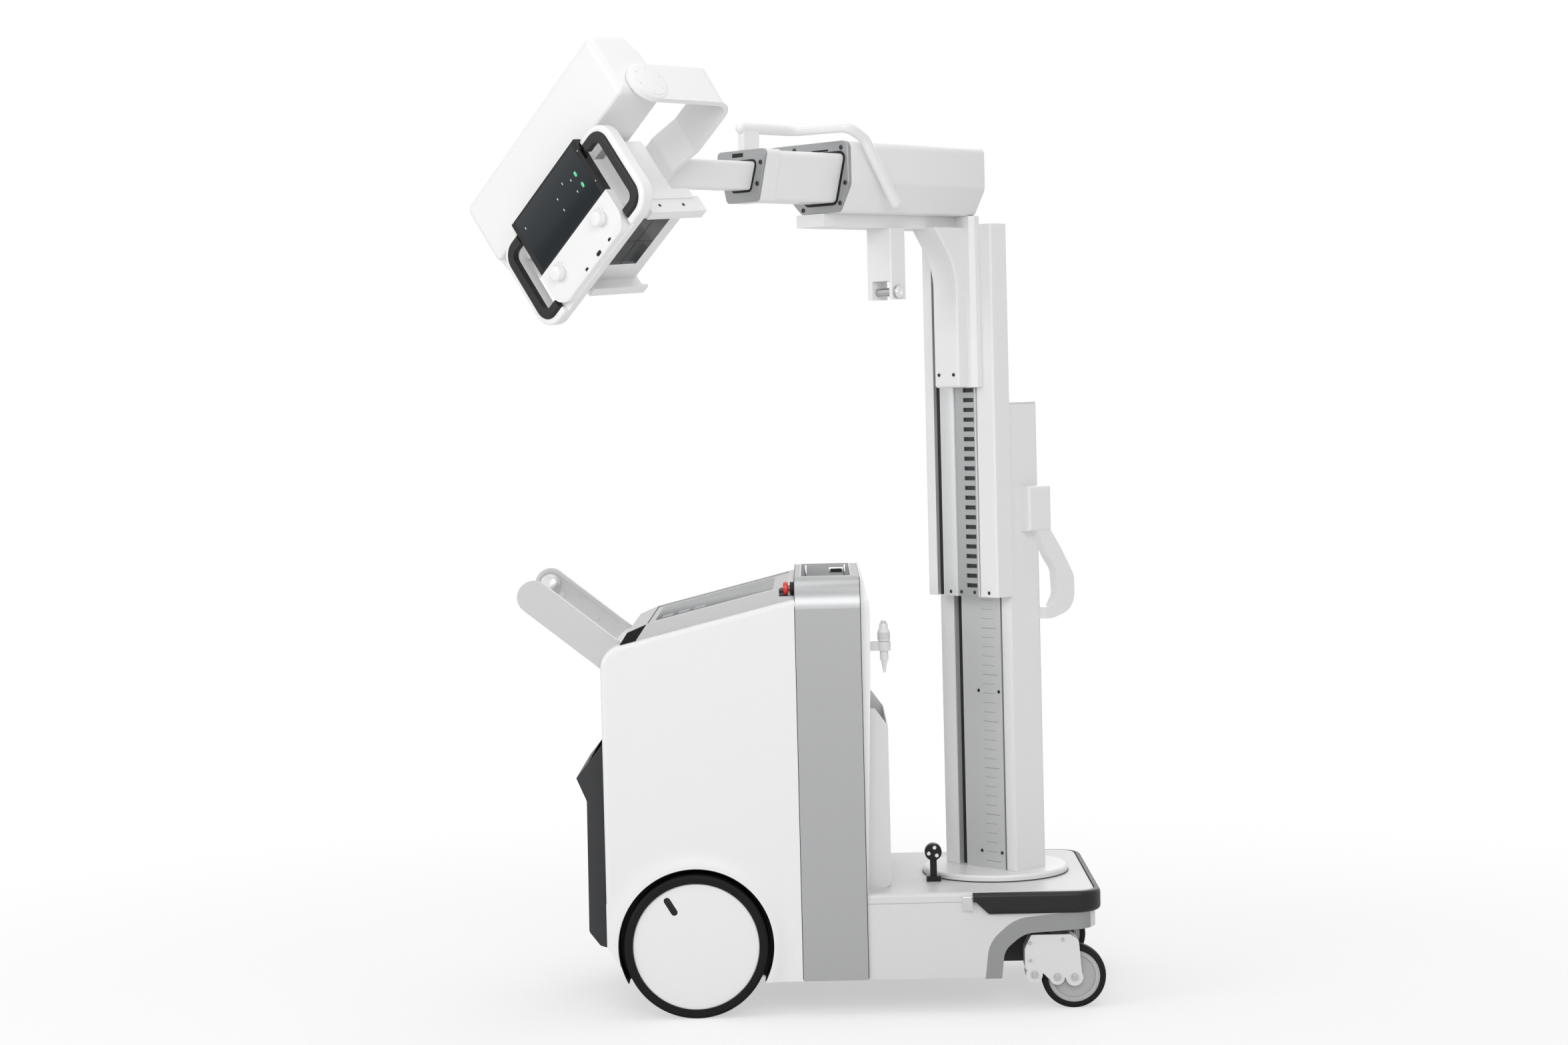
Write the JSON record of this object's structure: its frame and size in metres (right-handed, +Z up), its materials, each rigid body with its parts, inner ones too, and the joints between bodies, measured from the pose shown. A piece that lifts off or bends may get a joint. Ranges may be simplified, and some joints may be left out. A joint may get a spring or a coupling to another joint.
{
  "type": "mobile x-ray machine",
  "caption": "Wheeled x-ray machine with drive console, push handle, turning column, lifting stage, telescopic arm and a tube head in a yoke.",
  "frame": {"origin": "centre of the bounding box, on the floor", "axes": "+X forward to the caster end, +Y to the far side, +Z up"},
  "size_m": [1.232, 1.344, 1.9613],
  "materials": {
    "white_shell": "satin white moulding",
    "white_panel": "smooth white moulding",
    "silver_paint": "fine silver paint",
    "silver_trim": "satin silver",
    "steel_frame": "dark powder coat",
    "dark_plastic": "dark moulding",
    "grey_plastic": "grey moulding",
    "bumper_rubber": "black rubber",
    "tyre_rubber": "dark tyre",
    "profile_alu": "anodised",
    "cast_case": "cast case",
    "dark_glass": "black glass",
    "red_cap": "glossy red",
    "white_metal": "white paint",
    "tube_steel": "light grey paint"
  },
  "bodies": {
    "chassis": {"base_frame": "steel_frame", "base_cover": "white_shell", "arch_trims": "silver_trim", "bumper": "bumper_rubber", "side_shell_right": "white_shell", "side_shell_left": "white_shell", "rear_shell": "white_shell", "tower_band": "silver_trim", "front_shell": "white_shell", "top_tray": "white_shell", "console_frame": "silver_trim", "console_screen": "dark_plastic", "rear_bin": "dark_plastic", "detector_pocket": "grey_plastic", "handle_arms": "silver_trim", "handle_bar": "white_panel", "switch_holder": "white_panel", "lock_post": "steel_frame", "power_units": "cast_case", "caster_boots": "bumper_rubber"},
    "stop": {"stop_button": "red_cap"},
    "switch": {"hand_switch": "white_panel"},
    "exposure": {"switch_button": "grey_plastic"},
    "wheel_right": {"rear_rim_right": "white_panel", "rear_tyre_right": "tyre_rubber"},
    "wheel_left": {"rear_rim_left": "white_panel", "rear_tyre_left": "tyre_rubber"},
    "fork_right": {"caster_fork_right": "white_panel"},
    "fork_left": {"caster_fork_left": "white_panel"},
    "caster_right": {"caster_hub_right": "grey_plastic", "caster_tyre_right": "tyre_rubber"},
    "caster_left": {"caster_hub_left": "grey_plastic", "caster_tyre_left": "tyre_rubber"},
    "column": {"turntable": "silver_paint", "mast_profile": "profile_alu", "mast_scale": "silver_trim", "mast_cover": "white_shell", "cable_guide": "grey_plastic"},
    "stage": {"stage_profile": "profile_alu", "stage_rack": "silver_trim"},
    "carriage": {"arm_bracket": "white_metal", "arm_housing": "white_shell", "arm_end_frame": "grey_plastic", "latch_block": "grey_plastic"},
    "pawl": {"latch_pawl": "steel_frame"},
    "mid": {"mid_tube": "white_metal", "mid_end_frame": "grey_plastic", "grab_handle": "white_metal"},
    "inner": {"inner_tube": "white_metal"},
    "yoke_body": {"yoke": "white_metal"},
    "head": {"head_cover": "white_shell", "tube_casing": "tube_steel"},
    "collimator_body": {"collimator": "white_shell", "exit_window": "dark_glass", "handle_ring": "white_panel", "grips": "bumper_rubber", "control_panel": "white_panel", "display": "dark_plastic"},
    "knob_a": {"knob_right": "grey_plastic"},
    "knob_b": {"knob_left": "grey_plastic"}
  },
  "joints": [
    {"name": "drive_wheel_right", "type": "hinge", "parent": "chassis", "child": "wheel_right", "pos_m": [-0.23404, 0.14103, 0.15], "axis": [0, 1, 0], "continuous": true},
    {"name": "caster_swivel_right", "type": "hinge", "parent": "chassis", "child": "fork_right", "pos_m": [0.51496, 0.16103, 0.157], "axis": [0, 0, 1], "continuous": true},
    {"name": "caster_wheel_right", "type": "hinge", "parent": "fork_right", "child": "caster_right", "pos_m": [0.54896, 0.16103, 0.067], "axis": [0, 1, 0], "continuous": true},
    {"name": "drive_wheel_left", "type": "hinge", "parent": "chassis", "child": "wheel_left", "pos_m": [-0.23404, 0.64303, 0.15], "axis": [0, 1, 0], "continuous": true},
    {"name": "caster_swivel_left", "type": "hinge", "parent": "chassis", "child": "fork_left", "pos_m": [0.51496, 0.62303, 0.157], "axis": [0, 0, 1], "continuous": true},
    {"name": "caster_wheel_left", "type": "hinge", "parent": "fork_left", "child": "caster_left", "pos_m": [0.54896, 0.62303, 0.067], "axis": [0, 1, 0], "continuous": true},
    {"name": "stop_press", "type": "slide", "parent": "chassis", "child": "stop", "axis": [1, 0, 0], "range_m": [0, 0.004], "stiffness_N_per_m": 400},
    {"name": "switch_lift", "type": "slide", "parent": "chassis", "child": "switch", "axis": [0, 0, 1], "range_m": [0, 0.12]},
    {"name": "exposure_press", "type": "slide", "parent": "switch", "child": "exposure", "axis": [0, 0, -1], "range_m": [0, 0.004], "stiffness_N_per_m": 200},
    {"name": "column_turn", "type": "hinge", "parent": "chassis", "child": "column", "pos_m": [0.40466, 0.39203, 0.264], "axis": [0, 0, 1], "range_deg": [-315, 225]},
    {"name": "stage_slide", "type": "slide", "parent": "column", "child": "stage", "axis": [0, 0, 1], "range_m": [-0.55, 0]},
    {"name": "carriage_slide", "type": "slide", "parent": "stage", "child": "carriage", "axis": [0, 0, 1], "range_m": [-0.43, 0]},
    {"name": "latch_turn", "type": "hinge", "parent": "carriage", "child": "pawl", "pos_m": [0.20471, 0.16002, 1.496], "axis": [0.6947, -0.7193, 0], "range_deg": [-25, 35]},
    {"name": "mid_slide", "type": "slide", "parent": "carriage", "child": "mid", "axis": [-0.7193, -0.6947, 0], "range_m": [-0.15, 0.2]},
    {"name": "inner_slide", "type": "slide", "parent": "mid", "child": "inner", "axis": [-0.7193, -0.6947, 0], "range_m": [-0.15, 0.2]},
    {"name": "yoke_roll", "type": "hinge", "parent": "inner", "child": "yoke_body", "pos_m": [-0.26574, -0.29429, 1.717], "axis": [-0.7193, -0.6947, 0], "range_deg": [-217.9, 142.1]},
    {"name": "head_tilt", "type": "hinge", "parent": "yoke_body", "child": "head", "pos_m": [-0.38803, -0.41238, 1.717], "axis": [0.5481, -0.5676, 0.6143], "range_deg": [-93.7, 16.3]},
    {"name": "collimator_turn", "type": "hinge", "parent": "head", "child": "collimator_body", "pos_m": [-0.35551, -0.40063, 1.69884], "axis": [-0.4722, 0.3961, 0.7874], "range_deg": [-45, 45]},
    {"name": "knob_a_turn", "type": "hinge", "parent": "collimator_body", "child": "knob_a", "pos_m": [-0.42483, -0.519, 1.5276], "axis": [0.6903, 0.7217, 0.0509], "range_deg": [-150, 150]},
    {"name": "knob_b_turn", "type": "hinge", "parent": "collimator_body", "child": "knob_b", "pos_m": [-0.34151, -0.60528, 1.62097], "axis": [0.6903, 0.7217, 0.0509], "range_deg": [-150, 150]}
  ]
}
